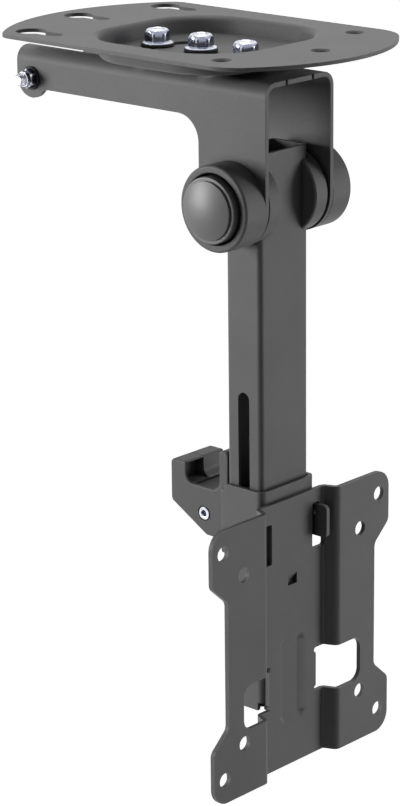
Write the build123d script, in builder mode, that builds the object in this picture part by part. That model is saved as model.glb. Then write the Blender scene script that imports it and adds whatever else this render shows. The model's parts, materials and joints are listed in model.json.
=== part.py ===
import os
from math import atan2, cos, degrees, radians, sin

from build123d import *

# Folding ceiling bracket for a flat screen, in millimetres.
# +Z is up and the origin lies on the swivel axis, in the face that meets the ceiling.
# The screen looks towards -Y, the arm runs back towards +Y, and X is the width.

# Ceiling plate, one pressed sheet
plate_sheet = 1.6
plate_half_width = 53.4
plate_front_reach = 83.7
plate_back_reach = 83.0
plate_front_sagitta = 24.0
plate_back_sagitta = 21.0
plate_front_corner = 20.0
plate_back_corner = 9.0
pan_half_width = 38.0
pan_half_length = 40.0
pan_corner = 26.0
pan_shift = -3.0
pan_depth = 8.0
pan_draft = 14.0
pan_lip_radius = 3.0
pan_root_radius = 2.0
screw_half_spacing = 40.5
screw_hole_radius = 3.2
screw_sink_radius = 4.2
front_screws_y = -48.0
front_centre_step = 16.0
keyhole_y = 58.0
keyhole_centre_step = 12.5
keyhole_head_radius = 6.3
keyhole_neck_radius = 3.0
keyhole_run = 14.6

# Swivel, three flanged bolts: one on the axis and two in curved slots
swivel_limit = 45.0
slot_heading = 90.0
swivel_bolt_radius = 3.0
swivel_bolt_pitch = 24.5
swivel_axis_clearance = 0.08
swivel_slot_clearance = 0.3
swivel_washer_sheet = 1.0
swivel_axis_washer_sheet = 1.5
swivel_washer_radius = 7.0
swivel_flange_radius = 6.8
swivel_flange_height = 1.2
swivel_hex_flats = 9.5
swivel_hex_turn = 21.0
swivel_head_height = 6.2
swivel_nut_flats = 10.0
swivel_nut_height = 6.0
swivel_thread_stickout = 1.5
thread_gap = 0.05
hex_edge = 0.8
friction_pad_sheet = 2.4
friction_pad_half_width = 14.5
friction_pad_half_length = 30.0
friction_pad_corner = 13.0

# Arm, one folded channel with an L shaped side
arm_sheet = 2.0
arm_half_width = 21.0
arm_bend_radius = 6.0
arm_leg_depth = 17.1
arm_leg_front_reach = 17.8
arm_leg_back_reach = 18.3
arm_corner_radius = 11.0
arm_notch_half_width = 13.5
arm_notch_start = 33.5
arm_notch_corner = 4.0
arm_relief_half_spacing = 8.0
arm_relief_width = 1.4
arm_relief_depth = 0.8
lobe_radius = 8.6
lobe_root_radius = 2.5

# Fold axis, along X through the tube
pivot_y = -35.5
pivot_z = -62.8
pivot_bolt_radius = 4.0
pivot_clearance = 0.08
pivot_hex_flats = 13.0
pivot_head_height = 5.3
pivot_nut_height = 5.5
pivot_thread_stickout = 1.5
pivot_washer_radius = 9.5
pivot_washer_sheet = 1.6
disc_spring_radius = 8.5
disc_spring_sheet = 0.8
disc_spring_cone = 0.3
hub_radius = 17.9
hub_width = 11.7
hub_base = 2.0
hub_wall = 3.3
hub_edge_radius = 1.2
cap_radius = 13.7
cap_wall = 1.6
cap_stand = 3.0
cap_edge_radius = 0.5
dome_radius = 12.1
dome_step = 1.0
dome_rise = 2.2
bush_radius = 17.4
bush_lap = 4.5
bush_edge = 0.6
friction_washer_sheet = 0.7
friction_washer_radius = 16.5

# Catch bolt, across the back lobes
catch_y = 78.7
catch_z = -24.8
catch_bolt_radius = 2.5
catch_hole_clearance = 0.1
catch_hex_flats = 8.0
catch_head_height = 3.6
catch_nut_height = 4.4
catch_washer_radius = 5.0
catch_washer_sheet = 1.0
catch_thread_stickout = 3.0

# Drop tube, rectangular with two long slots
tube_width = 30.0
tube_depth = 19.0
tube_wall = 1.5
tube_corner = 2.2
tube_top = -42.5
tube_bottom = -280.0
plug_flange = 1.5
plug_depth = 10.0
plug_fit = 0.15
slide_up = 50.0
slide_down = 10.0
slot_half_width = 3.1
slot_end_gap = 0.4

# Slider, a folded channel round the front and sides of the tube
slider_sheet = 1.8
slider_side_gap = 0.2
slider_front_gap = 0.2
slider_back_reach = 0.3
slider_bend_radius = 3.0
slider_top = -184.5
slider_bottom = -282.4
slider_corner = 3.0
slider_notch = 3.6
slider_opening_corner = 2.0
ear_bottom = -211.0
ear_top = -196.8
ear_corner = 2.0
ear_hole_radius = 1.2
ear_relief = 1.0

# Height lock, a bolt on the +X side into a block inside the tube
lock_z = -196.9
lock_bolt_radius = 3.0
lock_hole_clearance = 0.2
lock_flange_radius = 6.6
lock_flange_height = 1.2
lock_hex_flats = 10.0
lock_head_height = 4.5
lock_washer_radius = 7.5
lock_washer_sheet = 1.2
block_half_height = 9.0
block_depth = 12.0
block_wall_gap = 0.3
block_nose_gap = 0.2

# Screen plate, one folded sheet with raised wings
screen_sheet = 2.0
screen_half_width = 56.7
screen_top_reach = 60.0
screen_bottom_reach = 60.6
screen_waist = 47.3
screen_waist_half_height = 28.0
screen_tab_start = 36.4
screen_corner = 8.0
screen_tab_fillet = 4.0
screen_centre_z = -250.0
band_half_width = 20.0
band_step = 6.0
band_run = 2.5
band_bend_radius = 1.2
vesa_large = 100.0
vesa_small = 75.0
vesa_hole_radius = 3.25
window_inner = 15.3
window_outer = 37.9
window_top = -12.0
window_bottom = -32.0
window_corner = 5.0
window_inner_corner = 1.2
upper_window_inner = 12.9
upper_window_outer = 17.4
upper_window_bottom = 33.5
upper_window_top = 54.0
upper_foot_outer = 20.4
upper_foot_top = 38.5
slit_top = 51.5
upper_window_corner = 1.0
groove_floor_half_width = 4.8
groove_top = -1.5
groove_bottom = -41.5
groove_depth = 1.8
groove_slope = 3.5
groove_corner = 4.0
groove_clearance = 0.6
lance_half_width = 2.9
lance_top = 26.4
lance_foot = 23.0
lance_bottom = 21.3

# Latch, a moulded hook on a pin held by two lugs behind the tube
latch_pin_y = -10.0
latch_pin_z = -202.7
latch_half_width = 12.1
latch_front_gap = 0.4
latch_cheek = 2.7
latch_pin_radius = 2.0
latch_pin_clearance = 0.06
latch_pin_grip_gap = 0.02
latch_head_radius = 2.8
latch_head_thickness = 0.9
latch_head_sink = 0.4
latch_sink_radius = 3.5
latch_rivet_bore = 1.3
latch_tip_top = -182.0
latch_tip_outer = 9.2
latch_tip_thickness = 8.8
latch_recess_floor = -191.0
latch_recess_front = -18.6
latch_wall_top = -172.8
latch_bottom = -212.4
latch_chin_y = -11.0
latch_heel_z = -200.6
latch_foot_y = -21.0
latch_foot_z = -204.5
latch_edge = 0.8
latch_wall_corner = 2.0
latch_recess_corner = 3.9
latch_tip_inner_corner = 0.8
latch_tip_outer_corner = 2.0
latch_heel_corner = 2.5
latch_foot_corner = 1.5
latch_rim = 1.4
latch_core_depth = 4.5
latch_core_roof = 1.3
latch_core_rib = 0.8
latch_floor_sink = 0.7
latch_rivet_taper = 15.0
bracket_sheet = 1.5
bracket_corner = 1.5
bracket_top = -187.0
bracket_bottom = -216.0
lug_inner = 6.6
lug_radius = 5.0
lug_clearance = 1.5
spring_wire = 0.9
spring_pin_gap = 0.3
spring_turns = 4
spring_pitch = 1.05

# Derived places
pan_floor = -pan_depth
pan_underside = pan_floor - plate_sheet
arm_top = pan_underside - friction_pad_sheet
arm_web_underside = arm_top - arm_sheet
arm_inner = arm_half_width - arm_sheet
arm_front = pivot_y - arm_leg_front_reach
arm_leg_back = pivot_y + arm_leg_back_reach
arm_leg_middle = (arm_front + arm_leg_back) / 2
arm_leg_radius = (arm_leg_back - arm_front) / 2
arm_back = catch_y + lobe_radius
arm_leg_bottom = arm_top - arm_leg_depth
tube_front = pivot_y - tube_depth / 2
tube_back = pivot_y + tube_depth / 2
slider_inner = tube_width / 2 + slider_side_gap
slider_half_width = slider_inner + slider_sheet
slider_wall_back = tube_front - slider_front_gap
slider_front = slider_wall_back - slider_sheet
slider_back = tube_back + slider_back_reach
band_front = slider_front - screen_sheet
wing_front = band_front - band_step
bracket_front = slider_back
bracket_back = bracket_front + bracket_sheet
latch_front = bracket_back + latch_front_gap
pivot_axis = Axis((0, pivot_y, pivot_z), (1, 0, 0))


def across(x=0.0):
    """A plane whose sketch axes are Y and Z, at a place along X."""
    return Plane(origin=(x, 0, 0), x_dir=(0, 1, 0), z_dir=(1, 0, 0))


def facing_screen(y=0.0):
    """A plane whose sketch axes are X and Z, at a place along Y."""
    return Plane(origin=(0, y, 0), x_dir=(1, 0, 0), z_dir=(0, -1, 0))


os.makedirs("parts", exist_ok=True)

# Ceiling plate: flat sheet with curved ends and a pressed pan
pan_wall = plate_sheet / cos(radians(pan_draft))
pan_inset = pan_depth * sin(radians(pan_draft)) / cos(radians(pan_draft))
outer_inset = (pan_depth + plate_sheet) * sin(radians(pan_draft)) / cos(radians(pan_draft))
swivel_centres = [(0, -swivel_bolt_pitch), (0, 0), (0, swivel_bolt_pitch)]
front_corner_y = plate_front_sagitta - plate_front_reach
back_corner_y = plate_back_reach - plate_back_sagitta


def pan_rectangle(growth):
    """The pan's rounded outline, grown all round."""
    half_x = pan_half_width + growth
    half_y = pan_half_length + growth
    with Locations((0, pan_shift)):
        RectangleRounded(2 * half_x, 2 * half_y, pan_corner + growth)


def near_pan(edge):
    """True for the edges of the pan, not for those of the plate's outline."""
    middle = edge.center(CenterOf.BOUNDING_BOX)
    reach_x = pan_half_width + pan_wall + plate_sheet
    reach_y = pan_half_length + pan_wall + plate_sheet
    return abs(middle.X) < reach_x and abs(middle.Y - pan_shift) < reach_y


with BuildPart() as ceiling_plate:
    with BuildSketch(Plane.XY.offset(-plate_sheet)) as plate_outline:
        with BuildLine():
            ThreePointArc(
                (-plate_half_width, front_corner_y),
                (0, -plate_front_reach),
                (plate_half_width, front_corner_y),
            )
            Line((plate_half_width, front_corner_y), (plate_half_width, back_corner_y))
            ThreePointArc(
                (plate_half_width, back_corner_y),
                (0, plate_back_reach),
                (-plate_half_width, back_corner_y),
            )
            Line((-plate_half_width, back_corner_y), (-plate_half_width, front_corner_y))
        make_face()
        corners = plate_outline.vertices().group_by(Axis.Y)
        fillet(corners[0], plate_front_corner)
        fillet(plate_outline.vertices().group_by(Axis.Y)[-1], plate_back_corner)
    extrude(amount=plate_sheet)
    with BuildSketch(Plane.XY.offset(-plate_sheet / 2)):
        pan_rectangle(pan_wall - outer_inset * plate_sheet / 2 / (pan_depth + plate_sheet))
    with BuildSketch(Plane.XY.offset(pan_underside)):
        pan_rectangle(pan_wall - outer_inset)
    loft(ruled=True)
    with BuildSketch(Plane.XY):
        pan_rectangle(0)
    with BuildSketch(Plane.XY.offset(pan_floor)):
        pan_rectangle(-pan_inset)
    loft(ruled=True, mode=Mode.SUBTRACT)
    pan_edges = ceiling_plate.edges().filter_by(near_pan)
    fillet(pan_edges.filter_by_position(Axis.Z, -0.01, 0.01), pan_lip_radius)
    pan_edges = ceiling_plate.edges().filter_by(near_pan)
    underside = pan_underside + 0.01
    fillet(pan_edges.filter_by_position(Axis.Z, pan_underside - 0.01, underside), pan_lip_radius)
    pan_edges = ceiling_plate.edges().filter_by(near_pan)
    fillet(pan_edges.filter_by_position(Axis.Z, pan_floor - 0.01, pan_floor + 0.01), pan_root_radius)
    with BuildSketch(Plane.XY.offset(pan_underside)):
        Circle(swivel_bolt_radius + swivel_axis_clearance)
        for heading in (-slot_heading, slot_heading):
            with BuildLine(mode=Mode.PRIVATE) as slot_centre_line:
                CenterArc((0, 0), swivel_bolt_pitch, heading - swivel_limit, 2 * swivel_limit)
            SlotArc(slot_centre_line.edge(), 2 * (swivel_bolt_radius + swivel_slot_clearance))
    extrude(amount=plate_sheet, mode=Mode.SUBTRACT)
    with Locations(
        (-screw_half_spacing, front_screws_y, 0),
        (screw_half_spacing, front_screws_y, 0),
        (0, front_screws_y - front_centre_step, 0),
    ):
        CounterSinkHole(screw_hole_radius, screw_sink_radius)
    with BuildSketch(Plane.XY.offset(-plate_sheet)):
        keyholes = [
            (-screw_half_spacing, keyhole_y),
            (0, keyhole_y + keyhole_centre_step),
            (screw_half_spacing, keyhole_y),
        ]
        for head_x, head_y in keyholes:
            with Locations((head_x, head_y)):
                Circle(keyhole_head_radius)
            with Locations((head_x, head_y - keyhole_run / 2)):
                SlotCenterToCenter(keyhole_run, 2 * keyhole_neck_radius, rotation=90)
    extrude(amount=plate_sheet, mode=Mode.SUBTRACT)
ceiling_plate.part.label = "ceiling_plate"
export_step(ceiling_plate.part, "parts/ceiling_plate.step")

# Swivel stack: washers and bolts in the pan, pad and nuts below it
with BuildPart() as swivel_washers:
    with BuildSketch(Plane.XY.offset(pan_floor)):
        with Locations(*swivel_centres):
            Circle(swivel_washer_radius)
            Circle(swivel_bolt_radius + swivel_axis_clearance, mode=Mode.SUBTRACT)
    extrude(amount=swivel_washer_sheet)
    with BuildSketch(Plane.XY.offset(pan_floor)):
        Circle(swivel_washer_radius)
        Circle(swivel_bolt_radius + swivel_axis_clearance, mode=Mode.SUBTRACT)
    extrude(amount=swivel_axis_washer_sheet)
swivel_washers.part.label = "swivel_washers"
export_step(swivel_washers.part, "parts/swivel_washers.step")

with BuildPart() as friction_pad:
    with BuildSketch(Plane.XY.offset(arm_top)):
        RectangleRounded(
            2 * friction_pad_half_width, 2 * friction_pad_half_length, friction_pad_corner
        )
        with Locations(*swivel_centres):
            Circle(swivel_bolt_radius + swivel_axis_clearance, mode=Mode.SUBTRACT)
    extrude(amount=friction_pad_sheet)
friction_pad.part.label = "friction_pad"
export_step(friction_pad.part, "parts/friction_pad.step")

swivel_nut_bottom = arm_web_underside - swivel_nut_height
bolt_seats = [
    (centre, pan_floor + (swivel_washer_sheet if centre[1] else swivel_axis_washer_sheet))
    for centre in swivel_centres
]
with BuildPart() as swivel_bolts:
    for centre, seat in bolt_seats:
        with BuildSketch(Plane.XY.offset(seat + swivel_flange_height)):
            with Locations(centre):
                RegularPolygon(
                    swivel_hex_flats / 2, 6, major_radius=False, rotation=swivel_hex_turn
                )
        extrude(amount=swivel_head_height - swivel_flange_height)
        chamfer(swivel_bolts.faces(Select.LAST).sort_by(Axis.Z)[-1].edges(), hex_edge)
        with BuildSketch(Plane.XY.offset(seat)):
            with Locations(centre):
                Circle(swivel_flange_radius)
        extrude(amount=swivel_flange_height)
        with BuildSketch(Plane.XY.offset(swivel_nut_bottom - swivel_thread_stickout)):
            with Locations(centre):
                Circle(swivel_bolt_radius)
        extrude(amount=seat - swivel_nut_bottom + swivel_thread_stickout)
swivel_bolts.part.label = "swivel_bolts"
export_step(swivel_bolts.part, "parts/swivel_bolts.step")

with BuildPart() as swivel_nuts:
    with BuildSketch(Plane.XY.offset(swivel_nut_bottom)):
        with Locations(*swivel_centres):
            RegularPolygon(swivel_nut_flats / 2, 6, major_radius=False)
            Circle(swivel_bolt_radius + thread_gap, mode=Mode.SUBTRACT)
    extrude(amount=swivel_nut_height)
swivel_nuts.part.label = "swivel_nuts"
export_step(swivel_nuts.part, "parts/swivel_nuts.step")

# Arm: a folded channel whose sides drop to the fold axis and carry the catch bolt
with BuildPart() as arm_channel:
    with BuildSketch(Plane.XZ.offset(-arm_back)):
        bottom = pivot_z - arm_leg_radius
        with BuildLine():
            FilletPolyline(
                (-arm_half_width, bottom),
                (-arm_half_width, arm_top),
                (arm_half_width, arm_top),
                (arm_half_width, bottom),
                radius=arm_bend_radius,
            )
            offset(amount=arm_sheet, side=Side.RIGHT)
        make_face()
    extrude(amount=arm_back - arm_front)
    with BuildSketch(across()) as arm_side:
        with BuildLine():
            Polyline(
                (arm_front, pivot_z),
                (arm_front, arm_top),
                (arm_back, arm_top),
                (arm_back, catch_z),
                (catch_y, catch_z),
                (catch_y, arm_leg_bottom),
                (arm_leg_back, arm_leg_bottom),
                (arm_leg_back, pivot_z),
                close=True,
            )
        make_face()
        with Locations((arm_leg_middle, pivot_z)):
            Circle(arm_leg_radius)
        with Locations((catch_y, catch_z)):
            Circle(lobe_radius)
        lower_edge = (arm_leg_bottom - 0.01, arm_leg_bottom + 0.01)
        inner_corners = arm_side.vertices().filter_by_position(Axis.Y, *lower_edge)
        fillet(inner_corners.sort_by(Axis.X)[0], arm_corner_radius)
        inner_corners = arm_side.vertices().filter_by_position(Axis.Y, *lower_edge)
        fillet(inner_corners.sort_by(Axis.X)[-1], lobe_root_radius)
    extrude(amount=arm_half_width, both=True, mode=Mode.INTERSECT)
    with BuildSketch(Plane.XY.offset(arm_web_underside)):
        notch_middle = (arm_notch_start + arm_back + arm_notch_corner) / 2
        notch_length = arm_back + arm_notch_corner - arm_notch_start
        with Locations((0, notch_middle)):
            RectangleRounded(2 * arm_notch_half_width, notch_length, arm_notch_corner)
        with Locations(*swivel_centres):
            Circle(swivel_bolt_radius + swivel_axis_clearance)
        for side in (-1, 1):
            with Locations((side * arm_relief_half_spacing, arm_front)):
                Rectangle(arm_relief_width, 2 * arm_relief_depth)
    extrude(amount=arm_sheet, mode=Mode.SUBTRACT)
    with BuildSketch(across()):
        with Locations((pivot_y, pivot_z)):
            Circle(pivot_bolt_radius + thread_gap)
        with Locations((catch_y, catch_z)):
            Circle(catch_bolt_radius + catch_hole_clearance)
    extrude(amount=arm_half_width, both=True, mode=Mode.SUBTRACT)
arm_channel.part.label = "arm_channel"
export_step(arm_channel.part, "parts/arm_channel.step")

# Catch bolt: its bare shank crosses between the lobes for the hook
catch_seat = arm_half_width + catch_washer_sheet
with BuildPart() as catch_washers:
    for seat in (arm_half_width, -catch_seat):
        with BuildSketch(across(seat)):
            with Locations((catch_y, catch_z)):
                Circle(catch_washer_radius)
                Circle(catch_bolt_radius + thread_gap, mode=Mode.SUBTRACT)
        extrude(amount=catch_washer_sheet)
catch_washers.part.label = "catch_washers"
export_step(catch_washers.part, "parts/catch_washers.step")

with BuildPart() as catch_bolt:
    with BuildSketch(across(catch_seat)):
        with Locations((catch_y, catch_z)):
            RegularPolygon(catch_hex_flats / 2, 6, major_radius=False)
    extrude(amount=catch_head_height)
    chamfer(catch_bolt.faces().sort_by(Axis.X)[-1].edges(), hex_edge)
    with BuildSketch(across(catch_seat)):
        with Locations((catch_y, catch_z)):
            Circle(catch_bolt_radius)
    extrude(amount=-(2 * catch_seat + catch_nut_height + catch_thread_stickout))
    chamfer(catch_bolt.faces().sort_by(Axis.X)[0].edges(), hex_edge)
catch_bolt.part.label = "catch_bolt"
export_step(catch_bolt.part, "parts/catch_bolt.step")

with BuildPart() as catch_nut:
    with BuildSketch(across(-catch_seat - catch_nut_height)):
        with Locations((catch_y, catch_z)):
            RegularPolygon(catch_hex_flats / 2, 6, major_radius=False)
            Circle(catch_bolt_radius + thread_gap, mode=Mode.SUBTRACT)
    extrude(amount=catch_nut_height)
catch_nut.part.label = "catch_nut"
export_step(catch_nut.part, "parts/catch_nut.step")

# Fold axis: housings with domed caps outside, keyed bushes inside
hub_face = arm_half_width + hub_width
hub_seat = arm_half_width + hub_base
pivot_seat = hub_seat + pivot_washer_sheet
for side, name in ((-1, "hub_left"), (1, "hub_right")):
    with BuildPart() as hub:
        with BuildSketch(Plane(origin=(0, pivot_y, pivot_z))):
            with BuildLine():
                FilletPolyline(
                    (side * arm_half_width, pivot_bolt_radius + thread_gap),
                    (side * arm_half_width, hub_radius),
                    (side * hub_face, hub_radius),
                    (side * hub_face, hub_radius - hub_wall),
                    (side * hub_seat, hub_radius - hub_wall),
                    (side * hub_seat, pivot_bolt_radius + thread_gap),
                    radius=(0, 0, hub_edge_radius, hub_edge_radius / 2, 0, 0),
                    close=True,
                )
            make_face()
        revolve(axis=pivot_axis)
    hub.part.label = name
    export_step(hub.part, f"parts/{name}.step")

for side, name in ((-1, "cap_left"), (1, "cap_right")):
    cap_rim = hub_face + cap_stand
    dome_foot = cap_rim + dome_step
    cap_inner = cap_radius - cap_wall
    with BuildPart() as cap:
        with BuildSketch(Plane(origin=(0, pivot_y, pivot_z))):
            with BuildLine():
                Line(
                    (side * (dome_foot + dome_rise - cap_wall), 0),
                    (side * (dome_foot + dome_rise), 0),
                )
                TangentArc(
                    (side * (dome_foot + dome_rise), 0),
                    (side * dome_foot, dome_radius),
                    tangent=(0, 1),
                )
                FilletPolyline(
                    (side * dome_foot, dome_radius),
                    (side * cap_rim, dome_radius),
                    (side * cap_rim, cap_radius),
                    (side * hub_seat, cap_radius),
                    (side * hub_seat, cap_inner),
                    (side * (cap_rim - cap_wall), cap_inner),
                    radius=(0, cap_edge_radius, 0, 0),
                )
                TangentArc(
                    (side * (dome_foot + dome_rise - cap_wall), 0),
                    (side * (cap_rim - cap_wall), cap_inner),
                    tangent=(0, 1),
                )
            make_face()
        revolve(axis=pivot_axis)
    cap.part.label = name
    export_step(cap.part, f"parts/{name}.step")

with BuildPart() as pivot_washers:
    for seat in (hub_seat, -pivot_seat):
        with BuildSketch(across(seat)):
            with Locations((pivot_y, pivot_z)):
                Circle(pivot_washer_radius)
                Circle(pivot_bolt_radius + thread_gap, mode=Mode.SUBTRACT)
        extrude(amount=pivot_washer_sheet)
pivot_washers.part.label = "pivot_washers"
export_step(pivot_washers.part, "parts/pivot_washers.step")

# Two cone springs, edge to edge, keep the fold joint tight
spring_bore = pivot_bolt_radius + thread_gap
cone_height = disc_spring_sheet + disc_spring_cone
with BuildPart() as disc_springs:
    with BuildSketch(Plane(origin=(0, pivot_y, pivot_z))):
        with BuildLine():
            Polyline(
                (pivot_seat, disc_spring_radius),
                (pivot_seat + disc_spring_sheet, disc_spring_radius),
                (pivot_seat + cone_height, spring_bore),
                (pivot_seat + disc_spring_cone, spring_bore),
                close=True,
            )
        make_face()
        with BuildLine():
            Polyline(
                (pivot_seat + cone_height, spring_bore),
                (pivot_seat + 2 * cone_height - disc_spring_cone, spring_bore),
                (pivot_seat + 2 * cone_height, disc_spring_radius),
                (pivot_seat + cone_height + disc_spring_cone, disc_spring_radius),
                close=True,
            )
        make_face()
    revolve(axis=pivot_axis)
disc_springs.part.label = "disc_springs"
export_step(disc_springs.part, "parts/disc_springs.step")

nut_seat = pivot_seat + 2 * cone_height
with BuildPart() as pivot_nut:
    with BuildSketch(across(nut_seat)):
        with Locations((pivot_y, pivot_z)):
            RegularPolygon(pivot_hex_flats / 2, 6, major_radius=False)
            Circle(pivot_bolt_radius + thread_gap, mode=Mode.SUBTRACT)
    extrude(amount=pivot_nut_height)
pivot_nut.part.label = "pivot_nut"
export_step(pivot_nut.part, "parts/pivot_nut.step")

with BuildPart() as pivot_bolt:
    with BuildSketch(across(-pivot_seat - pivot_head_height)):
        with Locations((pivot_y, pivot_z)):
            RegularPolygon(pivot_hex_flats / 2, 6, major_radius=False)
    extrude(amount=pivot_head_height)
    with BuildSketch(across(-pivot_seat)):
        with Locations((pivot_y, pivot_z)):
            Circle(pivot_bolt_radius)
    extrude(amount=pivot_seat + nut_seat + pivot_nut_height + pivot_thread_stickout)
pivot_bolt.part.label = "pivot_bolt"
export_step(pivot_bolt.part, "parts/pivot_bolt.step")

bush_face = arm_inner - friction_washer_sheet
with BuildPart() as friction_washers:
    for seat in (bush_face, -arm_inner):
        with BuildSketch(across(seat)):
            with Locations((pivot_y, pivot_z)):
                Circle(friction_washer_radius)
                Circle(pivot_bolt_radius + pivot_clearance, mode=Mode.SUBTRACT)
        extrude(amount=friction_washer_sheet)
friction_washers.part.label = "friction_washers"
export_step(friction_washers.part, "parts/friction_washers.step")

bush_inner = tube_width / 2 - bush_lap
for side, name in ((-1, "bush_left"), (1, "bush_right")):
    with BuildPart() as bush:
        with BuildSketch(across(side * bush_inner)):
            with Locations((pivot_y, pivot_z)):
                Circle(bush_radius)
                Circle(pivot_bolt_radius + pivot_clearance, mode=Mode.SUBTRACT)
        extrude(amount=side * (bush_face - bush_inner))
        chamfer(bush.edges().filter_by(GeomType.CIRCLE).group_by(SortBy.RADIUS)[-1], bush_edge)
        with BuildSketch(across()):
            with Locations((pivot_y, pivot_z)):
                Rectangle(tube_depth, 3 * bush_radius)
        extrude(amount=side * tube_width / 2, mode=Mode.SUBTRACT)
    bush.part.label = name
    export_step(bush.part, f"parts/{name}.step")

# Drop tube: its long side slots guide and stop the slider
slot_top = lock_z + slide_up + slot_half_width + slot_end_gap
slot_bottom = lock_z - slide_down - slot_half_width - slot_end_gap
tube_plane = Plane(origin=(0, pivot_y, tube_bottom))
with BuildPart() as support_tube:
    with BuildSketch(tube_plane):
        RectangleRounded(tube_width, tube_depth, tube_corner)
        bore_corner = tube_corner - tube_wall
        bore = (tube_width - 2 * tube_wall, tube_depth - 2 * tube_wall)
        RectangleRounded(bore[0], bore[1], bore_corner, mode=Mode.SUBTRACT)
    extrude(amount=tube_top - tube_bottom)
    with BuildSketch(across()):
        with Locations((pivot_y, (slot_top + slot_bottom) / 2)):
            SlotOverall(slot_top - slot_bottom, 2 * slot_half_width, rotation=90)
        with Locations((pivot_y, pivot_z)):
            Circle(pivot_bolt_radius + pivot_clearance)
    extrude(amount=tube_width, both=True, mode=Mode.SUBTRACT)
support_tube.part.label = "support_tube"
export_step(support_tube.part, "parts/support_tube.step")

with BuildPart() as tube_plug:
    with BuildSketch(tube_plane.offset(-plug_flange)):
        RectangleRounded(tube_width, tube_depth, tube_corner)
    extrude(amount=plug_flange)
    with BuildSketch(tube_plane):
        plug_size = (bore[0] - 2 * plug_fit, bore[1] - 2 * plug_fit)
        RectangleRounded(plug_size[0], plug_size[1], bore_corner)
    extrude(amount=plug_depth)
tube_plug.part.label = "tube_plug"
export_step(tube_plug.part, "parts/tube_plug.step")

# Slider: front wall and two sides of one sheet, with a small forward ear on the +X side
groove_half_width = groove_floor_half_width + groove_slope
bump_growth = screen_sheet * groove_depth / (groove_slope + groove_depth)
with BuildPart() as slider_bracket:
    with BuildSketch(Plane.XY.offset(slider_bottom)):
        with BuildLine():
            FilletPolyline(
                (-slider_half_width, slider_back),
                (-slider_half_width, slider_front),
                (slider_half_width, slider_front),
                (slider_half_width, slider_back),
                radius=slider_bend_radius,
            )
            offset(amount=slider_sheet, side=Side.LEFT)
        make_face()
    extrude(amount=slider_top - slider_bottom)
    back_edges = slider_bracket.edges().filter_by(Axis.X).group_by(Axis.Y)[-1]
    fillet(back_edges, slider_corner)
    corner_middle = (slider_half_width + slider_inner) / 2
    corner_width = slider_sheet + 2 * ear_relief
    with BuildSketch(facing_screen(slider_front)):
        with Locations((corner_middle, (ear_top + ear_bottom) / 2)):
            Rectangle(corner_width, ear_top - ear_bottom + 2 * ear_relief)
        with Locations((-corner_middle, slider_bottom), (corner_middle, slider_bottom)):
            Rectangle(corner_width, 2 * slider_notch)
    extrude(amount=-slider_bend_radius, mode=Mode.SUBTRACT)
    with BuildSketch(across(slider_inner)) as ear:
        ear_root = slider_front + slider_bend_radius
        with Locations(((wing_front + ear_root) / 2, (ear_top + ear_bottom) / 2)):
            Rectangle(ear_root - wing_front, ear_top - ear_bottom)
        fillet(ear.vertices().group_by(Axis.X)[0], ear_corner)
        with Locations((band_front, ear_top - 2 * ear_corner)):
            Circle(ear_hole_radius, mode=Mode.SUBTRACT)
    extrude(amount=slider_sheet)
    with BuildSketch(facing_screen(slider_wall_back)):
        opening_half = groove_half_width + bump_growth + groove_clearance
        opening_top = screen_centre_z + groove_top + bump_growth + groove_clearance
        opening_bottom = screen_centre_z + groove_bottom - bump_growth - groove_clearance
        with Locations((0, (opening_top + opening_bottom) / 2)):
            RectangleRounded(
                2 * opening_half, opening_top - opening_bottom, slider_opening_corner
            )
    extrude(amount=slider_sheet, mode=Mode.SUBTRACT)
    with BuildSketch(across(slider_inner)):
        with Locations((pivot_y, lock_z)):
            Circle(lock_bolt_radius + lock_hole_clearance)
    extrude(amount=slider_sheet, mode=Mode.SUBTRACT)
slider_bracket.part.label = "slider_bracket"
export_step(slider_bracket.part, "parts/slider_bracket.step")

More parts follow.
